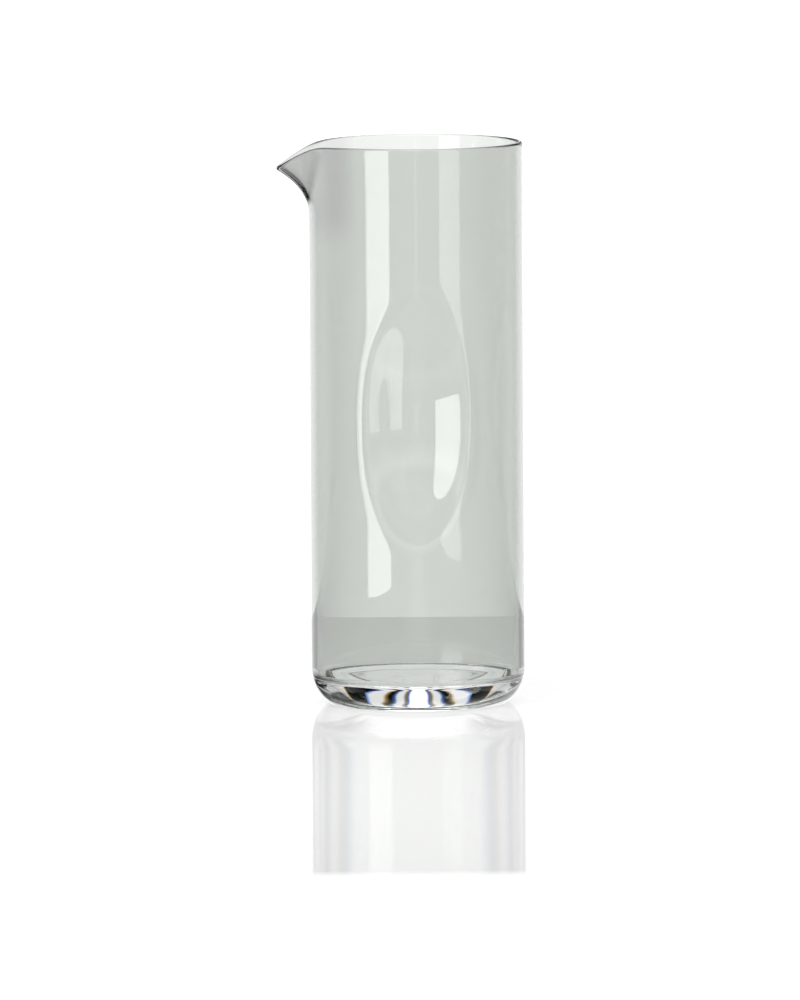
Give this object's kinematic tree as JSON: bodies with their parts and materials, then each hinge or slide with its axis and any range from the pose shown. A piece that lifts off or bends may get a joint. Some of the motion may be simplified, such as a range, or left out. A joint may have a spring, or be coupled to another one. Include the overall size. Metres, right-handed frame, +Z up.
{
  "type": "cocktail pitcher",
  "caption": "Tall smoke-tinted glass cocktail pitcher with a pulled pouring spout, thumb and finger dimples pressed into its wall, and a thick clear base.",
  "frame": {"origin": "middle of the foot, on the table plane and on the axis of the straight wall", "axes": "+Z up along the axis of the wall, -X towards the tip of the spout, -Y and +Y out of the grip dimples"},
  "size_m": [0.1035, 0.09, 0.237],
  "materials": {
    "smoke_glass": "clear polished glass with a light smoke-grey tint",
    "clear_glass": "clear polished glass"
  },
  "bodies": {
    "root": {"tinted_body": "smoke_glass", "clear_base": "clear_glass"}
  },
  "joints": []
}
